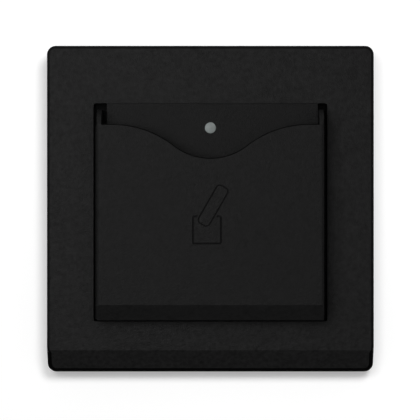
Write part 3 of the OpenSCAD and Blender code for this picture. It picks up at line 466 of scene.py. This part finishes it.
# Painted shade for the frame's front edge rounding.
rounding_shade_plastic = black_grain("rounding_shade_plastic", ROUNDING_SHADE_BLACK, ROUNDING_SHADE_DEEP, grain=0.3, relief=0.05, gloss=0.02)
shell = bmesh.new()
rounds = [math.radians(90 * k / ROUND_STEPS) for k in range(ROUND_STEPS + 1)]
front_edge = [
    outline(
        shell, FRAME_HALF - FRAME_EDGE * (1 - math.cos(a)), FRAME_HALF - FRAME_EDGE * (1 - math.cos(a)),
        FRAME_CORNER - FRAME_EDGE * (1 - math.cos(a)), FRAME_FACE + FRAME_EDGE * (1 - math.sin(a)))
    for a in rounds]
window_edge = [
    outline(
        shell, WINDOW_X + WINDOW_EDGE * (1 - math.sin(a)), WINDOW_Z + WINDOW_EDGE * (1 - math.sin(a)),
        INNER_CORNER + WINDOW_EDGE * (1 - math.sin(a)), FRAME_FACE + WINDOW_EDGE * (1 - math.cos(a)),
        WINDOW_MID)
    for a in rounds]
inner_half = FRAME_HALF - FRAME_WALL
plate_back = FRAME_FACE + FRAME_WALL
rear_rim = outline(shell, FRAME_HALF, FRAME_HALF, FRAME_CORNER, 0)
outer = skin(shell, [rear_rim, *front_edge, window_edge[0]])
# The front edge's rounding is painted a darker black as shade.
for face in (face for step in outer[1:-1] for face in step):
    face.material_index = ROUNDING_SHADE_SLOT
ledge = [
    outline(shell, WINDOW_X - step, WINDOW_Z - step, INNER_CORNER, y, WINDOW_MID)
    for step, y in ((0, LEDGE_FRONT), (LEDGE_WIDTH, LEDGE_FRONT), (LEDGE_WIDTH, LEDGE_BACK))]
collar = [
    outline(shell, WINDOW_X + COLLAR, WINDOW_Z + COLLAR, 2 * INNER_CORNER, y, WINDOW_MID)
    for y in (LEDGE_BACK, plate_back)]
skin(shell, [*window_edge, *ledge, *collar])
hollow = [outline(shell, inner_half, inner_half, INNER_CORNER, y) for y in (plate_back, 0)]
inner = skin(shell, [collar[-1], *hollow])
skin(shell, [hollow[-1], rear_rim])
slope = Vector((0, SLOPE_FOOT[0] - SLOPE_TOP[0], SLOPE_FOOT[1] - SLOPE_TOP[1]))
slope_out = Vector((0, slope.z, -slope.y)).normalized()
slope_point = Vector((0, *SLOPE_TOP))
slope_face = slice_off(shell, [face for step in outer for face in step], slope_point, slope_out)[0]
foot_edge = [edge for edge in slope_face.edges if edge.calc_face_angle(0) > math.radians(FOLD_ANGLE)]
foot_rounding = bmesh.ops.bevel(
    shell, geom=foot_edge, offset=FOOT_EDGE, segments=ROUND_STEPS, profile=0.5, affect="EDGES", material=-1)
# The foot's rounding is painted near black as shade.
for face in foot_rounding["faces"]:
    face.material_index = FOOT_SHADE_SLOT
slice_off(
    shell, [face for step in inner for face in step], slope_point - FRAME_WALL * slope_out, slope_out)
reach = inner_half + RIB_SINK
rib_front = plate_back - RIB_SINK
collar_x = WINDOW_X + COLLAR - RIB_SINK
collar_top = WINDOW_MID + WINDOW_Z + COLLAR - RIB_SINK
collar_foot = WINDOW_MID - WINDOW_Z - COLLAR + RIB_SINK
for side in (-1, 1):
    across = (side * RIB_PLACE - RIB_HALF, side * RIB_PLACE + RIB_HALF)
    box(shell, (across[0], rib_front, collar_top), (across[1], RIB_BACK, reach))
    box(shell, (collar_x, rib_front, across[0]), (reach, RIB_BACK, across[1]))
    box(shell, (-reach, rib_front, across[0]), (-collar_x, RIB_BACK, across[1]))
    foot_rib = box(shell, (across[0], rib_front, -reach), (across[1], RIB_BACK, collar_foot))
    foot_faces = once(face for vert in foot_rib for face in vert.link_faces)
    slice_off(shell, foot_faces, slope_point - (FRAME_WALL - RIB_SINK) * slope_out, slope_out)
front_frame = finish_piece("front_frame", shell, black_plastic)
# The window's ledge is painted near black as shade.
paint_recess_shade(front_frame, recess_shade_plastic, (LEDGE_FRONT - LEDGE_NEAR, LEDGE_FRONT + LEDGE_NEAR))
front_frame.data.materials.append(painted_shade_plastic)
front_frame.data.materials.append(rounding_shade_plastic)
even_shading(front_frame)
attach(front_frame, "fitting")
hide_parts("cover_frame")


# Centre plate and lever: the plate fills the window behind the pocket, snaps to the yoke and carries the
# card lever on a steel axle. The plate has a black skin like the frame's but darker, its set-back faces
# are painted near black as shade, and the lever is a smooth moulding.
PLATE_BLACK = (0.0074, 0.0074, 0.0075)
PLATE_SHADE = (0.001, 0.001, 0.001)
PANEL_FIT = ((0, -26.9, -26.6), (0, 26.9, 27.6), (2, 27.05, 27.19))
PLATE_SHADE_FLOOR = (-7.4, -6.3)
LEVER_BLACK = (0.03, 0.03, 0.032)
LEVER_SHADE = (0.022, 0.022, 0.024)
PLATE_EDGE, LEVER_EDGE = 0.03, 0.2

lever_plastic = moulded(
    "lever_plastic", LEVER_BLACK, LEVER_SHADE, grain=0.5, relief=0.003, rough=0.38, gloss=0.3)
plate_plastic = black_grain("plate_plastic", PLATE_BLACK, PLATE_SHADE, grain=0.24, relief=0.14, gloss=0.05)
slot_back = rounded_copy(
    "slot_back", "centre_plate", "fitting", plate_plastic, PLATE_EDGE, PANEL_FIT)
# The plate's set-back faces are painted near black as shade.
paint_recess_shade(slot_back, recess_shade_plastic, PLATE_SHADE_FLOOR)
rounded_copy("card_arm", "card_lever", "lever", lever_plastic, LEVER_EDGE)
dress(rivet_steel, "lever_axle")


# Indicator lens: a small domed button of smoke grey translucent plastic, pushed into the plate from
# behind until its rim seats. The lamp behind it is off.
LENS_R, LENS_Z = 1.4, 20.9
LENS_FRONT, LENS_RIM_FRONT, LENS_BACK = -10.0, -7.9, -7.1
LENS_RIM_R = 2.1
DOME_R = 4.0
DOME_STEPS, LENS_STEPS = 8, 64
SMOKE = (0.235, 0.256, 0.252)
SMOKE_SHADE = (0.163, 0.183, 0.179)
MILK_SIZE, MILK_ROUGH = 1.2, 0.12
LENS_ROUGH, SCATTER = 0.42, 0.4

lens_plastic, lens_shader, lens_shade = new_finish("lens_plastic")
milk = noise(lens_shade, MILK_SIZE)
lens_shade.wire(lens_shader, {
    "Base Color": lens_shade.mix(milk, SMOKE_SHADE, SMOKE),
    "Roughness": LENS_ROUGH + MILK_ROUGH * milk,
    "Specular IOR Level": 0.2,
    "Subsurface Weight": 0.3,
    "Subsurface Scale": SCATTER * MM,
    "Subsurface Radius": (1.0, 1.0, 1.0),
})
button = bmesh.new()
dome_end = math.asin(LENS_R / DOME_R)
path = [(0.0, LENS_FRONT)]
for k in range(1, DOME_STEPS + 1):
    a = dome_end * k / DOME_STEPS
    path.append((DOME_R * math.sin(a), LENS_FRONT + DOME_R * (1 - math.cos(a))))
path += [(LENS_R, LENS_RIM_FRONT), (LENS_RIM_R, LENS_RIM_FRONT)]
path += [(LENS_RIM_R, LENS_BACK), (0.0, LENS_BACK)]
points = [button.verts.new((r, y, LENS_Z)) for r, y in path]
lines = [button.edges.new(pair) for pair in zip(points, points[1:])]
bmesh.ops.spin(
    button, geom=points + lines, cent=(0, 0, LENS_Z), axis=(0, 1, 0), angle=2 * math.pi, steps=LENS_STEPS,
    use_merge=True, use_duplicate=False)
lamp_lens = finish_piece("lamp_lens", button, lens_plastic)
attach(lamp_lens, "fitting")
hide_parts("indicator_lens")


# Card pocket: a black moulded trough clipped to the centre plate. Its front wall dips for the thumb, with
# a rounded rim painted near black as shade, its sides end in ears that curve back to the frame, and two
# ribs guide the card.
POCKET_X, SLOT_X = 28.9, 27.75
POCKET_FRONT, SLOT_FRONT, POCKET_BACK = -17.0, -15.0, -7.6
POCKET_FOOT, POCKET_FLOOR = -28.3, -26.5
POCKET_EDGE = 0.8
SHOULDER, EAR_TOP, EAR_BACK = 21.6, 25.6, -9.4
EAR_ANGLES = (0, 16, 25, 34, 50, 58, 66, 74, 82, 90)
DIP_HALF, DIP_DEPTH, DIP_SHARE = 25.0, 8.6, 0.37
DIP_STEPS, SHOULDER_STEP = 36, 25.6
FOOT_SLOPE = (-24.3, -14.5)
FOOT_RISE, FOOT_RUN = 1.0, 2.0
CORNER_CUTS = (15, 30, 45, 60, 75)
GUIDE_X, GUIDE_HALF, GUIDE_ROOM, GUIDE_GAP = 19.4, 0.7, 0.2, 0.3
GUIDE_TOP, GUIDE_KNEE, GUIDE_LIP, GUIDE_HEIGHT = 20.8, 4.8, 0.5, 3.4
TAB_LOW, TAB_HIGH, TAB_BACK = 13.0, 19.0, -6.0
RIM_EDGE, SOFT_EDGE = 0.22, 0.12
POCKET_BLACK, POCKET_SHADE = (0.0133, 0.0133, 0.0134), (0.0032, 0.0032, 0.0032)
SIGN_SLOT, RIM_SHADE_SLOT = 1, 2
NEAR, SQUARE_ON = 0.001, 0.99


def raised(mesh, faces, shift):
    """Extrudes a region of faces by a shift and returns its new vertices."""
    edges = once(edge for face in faces for edge in face.edges)
    grown = bmesh.ops.extrude_face_region(mesh, geom=faces + edges)["geom"]
    verts = [part for part in grown if isinstance(part, bmesh.types.BMVert)]
    bmesh.ops.translate(mesh, verts=verts, vec=shift)
    return verts


def split(mesh, faces, point, normal):
    """Splits a flat region of faces along a plane and leaves both sides."""
    bmesh.ops.bisect_plane(mesh, geom=with_bounds(faces), dist=ON_PLANE, plane_co=point, plane_no=normal)


def dip_height(x):
    """The height of the front rim: one low arc, and a wider arc on each side up to the shoulder."""
    x = abs(x)
    bends = (DIP_HALF ** 2 + DIP_DEPTH ** 2) / (2 * DIP_DEPTH)
    low_bend, high_bend = DIP_SHARE * bends, (1 - DIP_SHARE) * bends
    if x >= DIP_HALF:
        return SHOULDER
    if x >= DIP_SHARE * DIP_HALF:
        return SHOULDER - high_bend + math.sqrt(high_bend ** 2 - (DIP_HALF - x) ** 2)
    return SHOULDER - DIP_DEPTH + low_bend - math.sqrt(low_bend ** 2 - x ** 2)


def faces_at(mesh, test):
    """The faces whose middle and normal pass a test."""
    return [face for face in mesh.faces if test(face.calc_center_median(), face.normal)]


def guide_faces(mesh, side):
    """The slot's front wall, where one guide rib stands."""
    return faces_at(
        mesh, lambda c, n: abs(c.x - side * GUIDE_X) < GUIDE_HALF and abs(c.y - SLOT_FRONT) < NEAR
        and c.z > POCKET_FLOOR)


def heel_faces(mesh, side):
    """The back of one side wall, where its tabs stand."""
    return faces_at(mesh, lambda c, n: side * c.x > SLOT_X and abs(c.y - POCKET_BACK) < NEAR)


def front_faces(mesh):
    """The flat of the pocket's front."""
    return faces_at(mesh, lambda c, n: n.y < -SQUARE_ON and abs(c.y - POCKET_FRONT) < NEAR)


pocket_plastic = black_grain(
    "pocket_plastic", POCKET_BLACK, POCKET_SHADE, grain=0.3, relief=0.2, gloss=0.04)
pocket = bmesh.new()
guide_sides = [s * GUIDE_X + t * GUIDE_HALF for s in (-1, 1) for t in (-1, 1)]
wall_sides = [s * x for s in (-1, 1) for x in (POCKET_X, SLOT_X, SHOULDER_STEP)]
dip_steps = [DIP_HALF * k / DIP_STEPS for k in range(-DIP_STEPS, DIP_STEPS + 1)]
clear_steps = [x for x in dip_steps if all(abs(x - g) > GUIDE_ROOM for g in guide_sides)]
columns = sorted({*wall_sides, *guide_sides, *clear_steps})
ear_depth, ear_rise = EAR_BACK - POCKET_FRONT, EAR_TOP - SHOULDER
ear_turn = math.degrees(math.acos((EAR_BACK - SLOT_FRONT) / ear_depth))
ear_angles = [math.radians(a) for a in sorted((*EAR_ANGLES, ear_turn))]
rows = [EAR_BACK - ear_depth * math.cos(a) for a in ear_angles] + [POCKET_BACK]
ear_heights = [SHOULDER + ear_rise * math.sin(a) for a in ear_angles] + [EAR_TOP]
sheet = bmesh.ops.create_grid(pocket, x_segments=len(columns) - 1, y_segments=len(rows) - 1, size=1)
for vert in sheet["verts"]:
    column = round((vert.co.x + 1) / 2 * (len(columns) - 1))
    row = round((vert.co.y + 1) / 2 * (len(rows) - 1))
    vert.co = (columns[column], rows[row], POCKET_FOOT)
raised(pocket, pocket.faces[:], (0, 0, POCKET_FLOOR - POCKET_FOOT))
pocket.normal_update()
walls = faces_at(
    pocket, lambda c, n: c.z > POCKET_FLOOR - NEAR and (abs(c.x) > SLOT_X or c.y < SLOT_FRONT))
rim = raised(pocket, walls, (0, 0, SHOULDER - POCKET_FLOOR))
for vert in rim:
    if abs(vert.co.x) < SLOT_X - NEAR and vert.co.y < SLOT_FRONT + NEAR:
        vert.co.z = dip_height(vert.co.x)
ears = faces_at(pocket, lambda c, n: c.z > SHOULDER - NEAR and abs(c.x) > SLOT_X)
for vert in raised(pocket, ears, (0, 0, 0)):
    vert.co.z = ear_heights[min(range(len(rows)), key=lambda k: abs(rows[k] - vert.co.y))]
bmesh.ops.remove_doubles(pocket, verts=pocket.verts, dist=NEAR)
bmesh.ops.dissolve_degenerate(pocket, edges=pocket.edges, dist=NEAR)
bmesh.ops.recalc_face_normals(pocket, faces=pocket.faces)
guide_foot = POCKET_FLOOR + GUIDE_GAP
for side in (-1, 1):
    for z in (GUIDE_TOP, GUIDE_KNEE, guide_foot):
        split(pocket, guide_faces(pocket, side), (0, 0, z), (0, 0, 1))
    guide = guide_faces(pocket, side)
    strip = [face for face in guide if guide_foot < face.calc_center_median().z < GUIDE_TOP]
    for vert in raised(pocket, strip, (0, GUIDE_HEIGHT, 0)):
        if vert.co.z > GUIDE_KNEE + NEAR:
            vert.co.y = SLOT_FRONT + GUIDE_LIP
    for end in (-1, 1):
        for z in (TAB_LOW, TAB_HIGH):
            split(pocket, heel_faces(pocket, side), (0, 0, end * z), (0, 0, 1))
        heel = heel_faces(pocket, side)
        tab = [face for face in heel if TAB_LOW < end * face.calc_center_median().z < TAB_HIGH]
        raised(pocket, tab, (0, TAB_BACK - POCKET_BACK, 0))
for side in (-1, 1):
    middle = Vector((side * (POCKET_X - POCKET_EDGE), POCKET_FRONT + POCKET_EDGE, 0))
    for angle in CORNER_CUTS:
        out = Vector((side * math.sin(math.radians(angle)), -math.cos(math.radians(angle)), 0))
        slice_off(pocket, pocket.faces[:], middle + POCKET_EDGE * out, out)
foot_run = Vector((0, FOOT_SLOPE[1] - POCKET_FRONT, POCKET_FOOT - FOOT_SLOPE[0]))
foot_out = Vector((0, foot_run.z, -foot_run.y)).normalized()
slice_off(pocket, pocket.faces[:], Vector((0, POCKET_FRONT, FOOT_SLOPE[0])), foot_out)
pocket.normal_update()
bmesh.ops.dissolve_faces(pocket, faces=front_faces(pocket), use_verts=True)
foot = faces_at(pocket, lambda c, n: n.z < -SQUARE_ON and abs(c.z - POCKET_FOOT) < NEAR)
bmesh.ops.dissolve_faces(pocket, faces=foot, use_verts=True)
for soft, at_rim in ((RIM_EDGE, True), (SOFT_EDGE, False)):
    sharp_edges = []
    for edge in pocket.edges:
        a, b = (vert.co for vert in edge.verts)
        front_rim = max(a.y, b.y) < POCKET_FRONT + NEAR and min(a.z, b.z) > 0
        foot_corner = min(a.z, b.z) < FOOT_SLOPE[0] + FOOT_RISE and abs(a.x - b.x) < FOOT_RUN
        fold = edge.calc_face_angle(0) > math.radians(FOLD_ANGLE)
        if fold and front_rim == at_rim and not foot_corner:
            sharp_edges.append(edge)
    rounding = bmesh.ops.bevel(
        pocket, geom=sharp_edges, offset=soft, segments=ROUND_STEPS, profile=0.5, affect="EDGES",
        material=-1, clamp_overlap=True)["faces"]
    # The rim's rounding is painted near black as shade.
    if at_rim:
        for face in rounding:
            face.material_index = RIM_SHADE_SLOT


# Card sign: a card over an open box, cut 0.3 mm deep in the pocket's front by a mould insert. Its lines
# are grooves with a dull black floor, finer for the card, and the box stays open where the card goes in.
BOX_GROOVE, CARD_GROOVE, GROOVE_DEPTH = 0.5, 0.36, 0.3
# The grooves are coloured darker than the pocket.
GROOVE_BLACK, GROOVE_BLACK_DEEP = (0.006, 0.006, 0.0061), (0.0024, 0.0024, 0.0024)
SIGN_BOX_MID, SIGN_BOX, SIGN_BOX_CORNER = (-0.85, -5.25), (7.1, 6.9), 0.4
SIGN_MOUTH = (-3.3, 1.6)
SIGN_CARD_MID, SIGN_CARD, SIGN_CARD_CORNER = (0.7, 0.9), (3.2, 11.0), 1.0
SIGN_CARD_TURN = 30.0


def sign_line(mesh, size, corner, middle, turn, groove):
    """A flat closed band on the pocket's front, one groove wide, and its faces."""
    rings = [
        outline(mesh, size[0] / 2 + step, size[1] / 2 + step, corner + step, POCKET_FRONT)
        for step in (-groove / 2, groove / 2)]
    faces = skin(mesh, rings)[0]
    verts = once(vert for face in faces for vert in face.verts)
    lean = Matrix.Rotation(math.radians(turn), 3, "Y")
    bmesh.ops.rotate(mesh, verts=verts, cent=(0, POCKET_FRONT, 0), matrix=lean)
    bmesh.ops.translate(mesh, verts=verts, vec=(middle[0], 0, middle[1]))
    return faces


def band_faces(mesh):
    """The sign's bands, while the front has no other faces."""
    return faces_at(mesh, lambda c, n: abs(c.y - POCKET_FRONT) < NEAR)


sign_plastic = black_grain("sign_plastic", GROOVE_BLACK, GROOVE_BLACK_DEEP, grain=0.2, relief=0.05, gloss=0.015)
pocket.normal_update()
front = max(front_faces(pocket), key=lambda face: face.calc_area())
front_edges = list(front.edges)
bmesh.ops.delete(pocket, geom=[front], context="FACES_ONLY")
box_band = sign_line(pocket, SIGN_BOX, SIGN_BOX_CORNER, SIGN_BOX_MID, 0.0, BOX_GROOVE)
for x in SIGN_MOUTH:
    split(pocket, box_band, (x, 0, 0), (1, 0, 0))
    box_band = band_faces(pocket)
box_top = SIGN_BOX_MID[1] + SIGN_BOX[1] / 2 - BOX_GROOVE
mouth = []
for face in box_band:
    middle = face.calc_center_median()
    if middle.z > box_top and SIGN_MOUTH[0] < middle.x < SIGN_MOUTH[1]:
        mouth.append(face)
bmesh.ops.delete(pocket, geom=mouth, context="FACES")
bands = band_faces(pocket) + sign_line(
    pocket, SIGN_CARD, SIGN_CARD_CORNER, SIGN_CARD_MID, SIGN_CARD_TURN, CARD_GROOVE)
band_edges = [edge for edge in once(edge for face in bands for edge in face.edges) if edge.is_boundary]
bmesh.ops.triangle_fill(
    pocket, edges=front_edges + band_edges, use_beauty=True, use_dissolve=False, normal=(0, -1, 0))
sunk = set(raised(pocket, bands, (0, GROOVE_DEPTH, 0)))
for face in pocket.faces:
    if any(vert in sunk for vert in face.verts):
        face.material_index = SIGN_SLOT
pocket_shell = finish_piece("pocket_shell", pocket, pocket_plastic)
pocket_shell.data.materials.append(sign_plastic)
# Near black painted as shade for the rim's rounding.
pocket_shell.data.materials.append(painted_shade_plastic)
even_shading(pocket_shell)
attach(pocket_shell, "fitting")
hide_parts("card_pocket")


# Studio: a small white wall card stands behind the frame, with a dark sheet in front of it as painted shade
# where the wall box's mouth would be, and a pale floor lies below. Soft lamps light the part from the left
# and from behind, and two more light only the boards. Each lamp has a place, a size, a power and whether
# it lights the boards.
WALL_Y, WALL_HALF = 0.0006, 0.058
MOUTH_Y, MOUTH_HALF = 0.0003, 0.033
FLOOR_Z, FLOOR_HALF = -0.058, 1.2
# The dark tone is painted shade for the wall box's mouth.
PALE, MOUTH_SHADE_DARK = (0.86, 0.86, 0.86), (0.012, 0.012, 0.012)
CAMERA_PLACE = (-0.0001, -0.591, -0.0002)
CAMERA_LENS = 194.0
LAMPS = {
    "key": ((-0.13, -0.38, 0.07), 0.3, 1.2, False),
    "fill": ((0.3, -0.6, 0.1), 0.4, 0.25, False),
    "rear_left": ((-0.45, 0.6, 0.4), 0.4, 2.2, False),
    "rear_right": ((0.5, 0.55, 0.25), 0.4, 1.6, False),
    "wall_right": ((0.122, -0.65, 0.22), 0.2, 2.35, True),
    "wall_left": ((-0.116, -0.65, 0.14), 0.2, 1.15, True),
}
AMBIENT = 0.2
BOARD_GLOW, SPECK_SIZE, SPECK_TONE = 0.3, 40.0, 0.98
SENSOR_WIDTH = 36.0


def sheet_finish(name, tone, glow):
    """Plain matt board, seen from its front only. Glow lifts it towards white for the camera alone."""
    made, shader, shade = new_finish(name)
    back = shade.node("NewGeometry", output="Backfacing")
    seen = shade.node("LightPath", output="Is Camera Ray")
    speck = noise(shade, SPECK_SIZE)
    speck_tone = tuple(SPECK_TONE * part for part in tone)
    board = shade.node("BsdfDiffuse", inputs={"Color": shade.mix(speck, tone, speck_tone)})
    lift = shade.node("Emission", inputs={"Color": (1.0, 1.0, 1.0), "Strength": glow * seen})
    lit = shade.node("AddShader", inputs={0: board, 1: lift})
    clear = shade.node("BsdfTransparent")
    both = shade.node("MixShader", inputs={0: back, 1: lit, 2: clear})
    output = made.node_tree.nodes["Material Output"]
    shade.wire(output, {"Surface": both})
    return made


boards = bpy.data.collections.new("boards")
all_but_boards = bpy.data.collections.new("all_but_boards")
for name, half, turn, place, tone, glow in (
        ("wall_card", WALL_HALF, math.radians(90), (0, WALL_Y, 0), PALE, BOARD_GLOW),
        # A near-black sheet behind the frame's gaps: painted shade where the wall box's mouth would be.
        ("box_mouth", MOUTH_HALF, math.radians(90), (0, MOUTH_Y, 0), MOUTH_SHADE_DARK, 0.0),
        ("floor", FLOOR_HALF, 0.0, (0, 0, FLOOR_Z), PALE, BOARD_GLOW)):
    board = bmesh.new()
    bmesh.ops.create_grid(board, x_segments=1, y_segments=1, size=half)
    bmesh.ops.rotate(board, verts=board.verts, cent=(0, 0, 0), matrix=Matrix.Rotation(turn, 3, "X"))
    bmesh.ops.translate(board, verts=board.verts, vec=place)
    data = bpy.data.meshes.new(name)
    board.to_mesh(data)
    board.free()
    data.materials.append(sheet_finish(name + "_board", tone, glow))
    board_piece = bpy.data.objects.new(name, data)
    for group in (bpy.context.scene.collection, boards, all_but_boards):
        group.objects.link(board_piece)
    board_piece.visible_diffuse = False
    board_piece.visible_glossy = name == "floor"
    board_piece.visible_shadow = False
for row in all_but_boards.collection_objects:
    row.light_linking.link_state = "EXCLUDE"

world = bpy.data.worlds.new("studio")
bpy.context.scene.world = world
world.use_nodes = True
sky = Shade(world.node_tree)
seen = sky.maths(
    "MAXIMUM", sky.node("LightPath", output="Is Camera Ray"),
    sky.node("LightPath", output="Is Glossy Ray"))
seen = sky.maths("MAXIMUM", seen, sky.node("LightPath", output="Is Transmission Ray"))
level = AMBIENT + (1 - AMBIENT) * seen
sky.wire(world.node_tree.nodes["Background"], {"Color": (1.0, 1.0, 1.0), "Strength": level})

for name, (place, size, power, lights_boards) in LAMPS.items():
    light = bpy.data.lights.new(name, "AREA")
    light.shape = "DISK"
    light.size = size
    light.energy = power
    lamp = bpy.data.objects.new(name, light)
    lamp.location = place
    lamp.rotation_mode = "QUATERNION"
    lamp.rotation_quaternion = (-Vector(place)).to_track_quat("-Z", "Y")
    lamp.light_linking.receiver_collection = boards if lights_boards else all_but_boards
    bpy.context.scene.collection.objects.link(lamp)

camera = bpy.data.objects.new("camera", bpy.data.cameras.new("camera"))
camera.data.sensor_width = SENSOR_WIDTH
camera.data.lens = CAMERA_LENS
camera.location = CAMERA_PLACE
camera.rotation_euler = (math.radians(90), 0, 0)
bpy.context.scene.collection.objects.link(camera)
bpy.context.scene.camera = camera
bpy.context.scene.view_settings.view_transform = "Standard"
